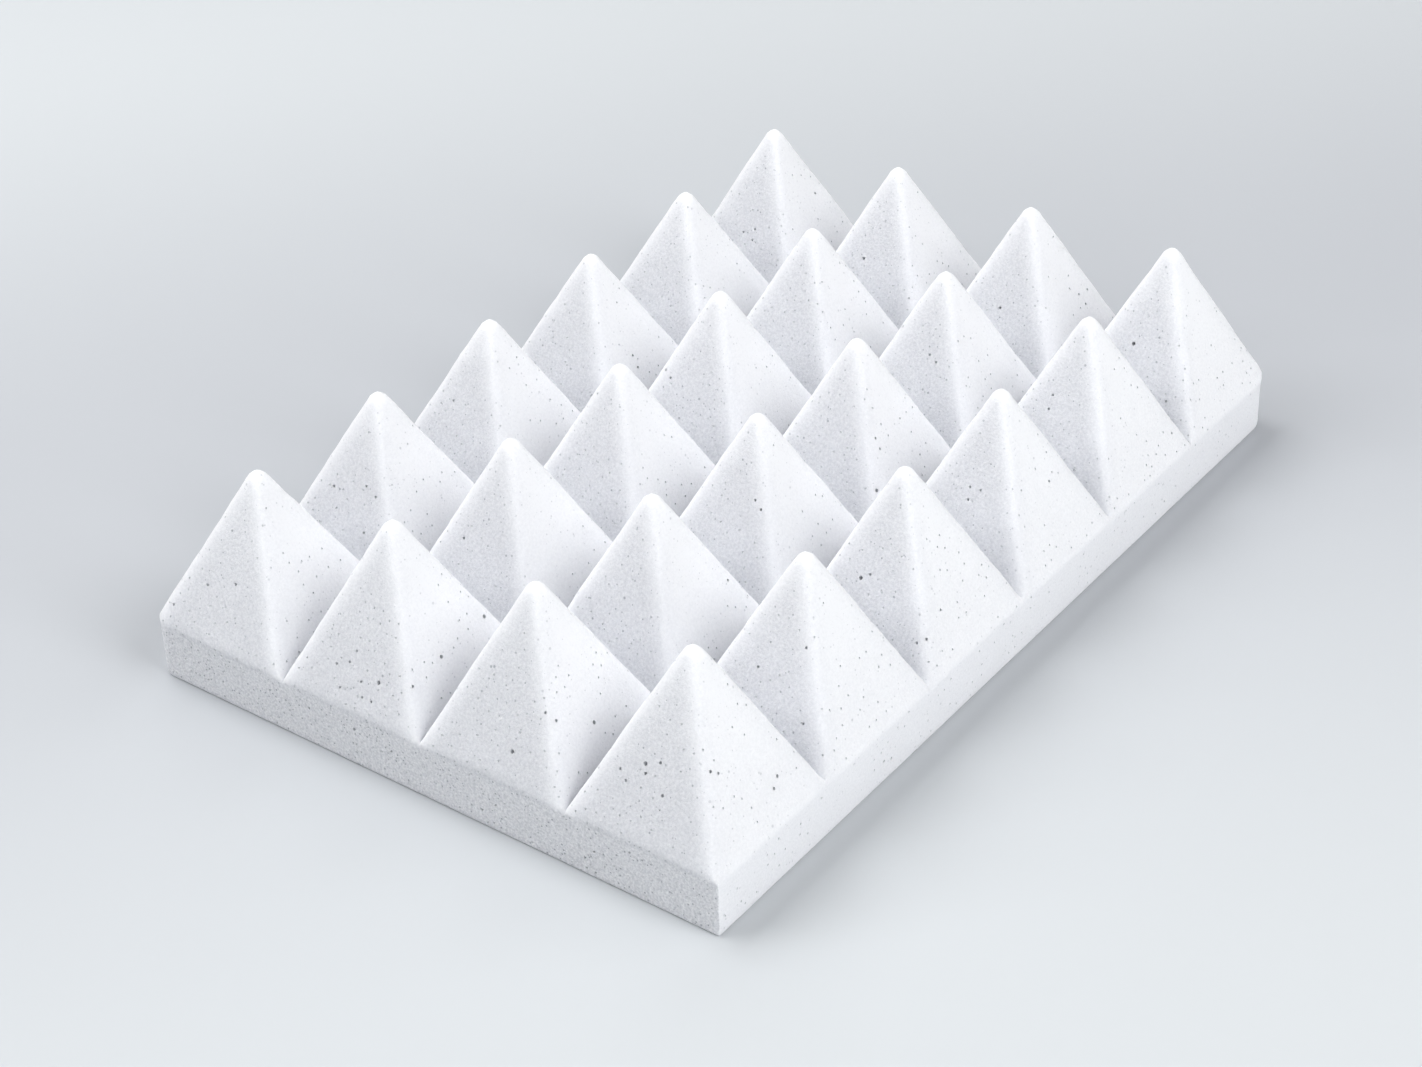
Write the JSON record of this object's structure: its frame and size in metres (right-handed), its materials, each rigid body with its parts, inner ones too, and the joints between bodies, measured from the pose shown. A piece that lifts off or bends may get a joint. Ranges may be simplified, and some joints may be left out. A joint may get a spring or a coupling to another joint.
{
  "type": "pyramid foam mat",
  "caption": "Rectangular foam mat with rows of pyramids on a flat slab, which soaks up sound on the wall of a studio or booth.",
  "frame": {"origin": "middle of the flat back, which lies on the surface", "axes": "+X along the long side, +Y along the short side, +Z out of the back towards the tips"},
  "size_m": [0.299, 0.2, 0.0672],
  "materials": {
    "foam": "white, matte, fine open-cell foam with small pores"
  },
  "bodies": {
    "root": {"foam_mat": "foam"}
  },
  "joints": []
}
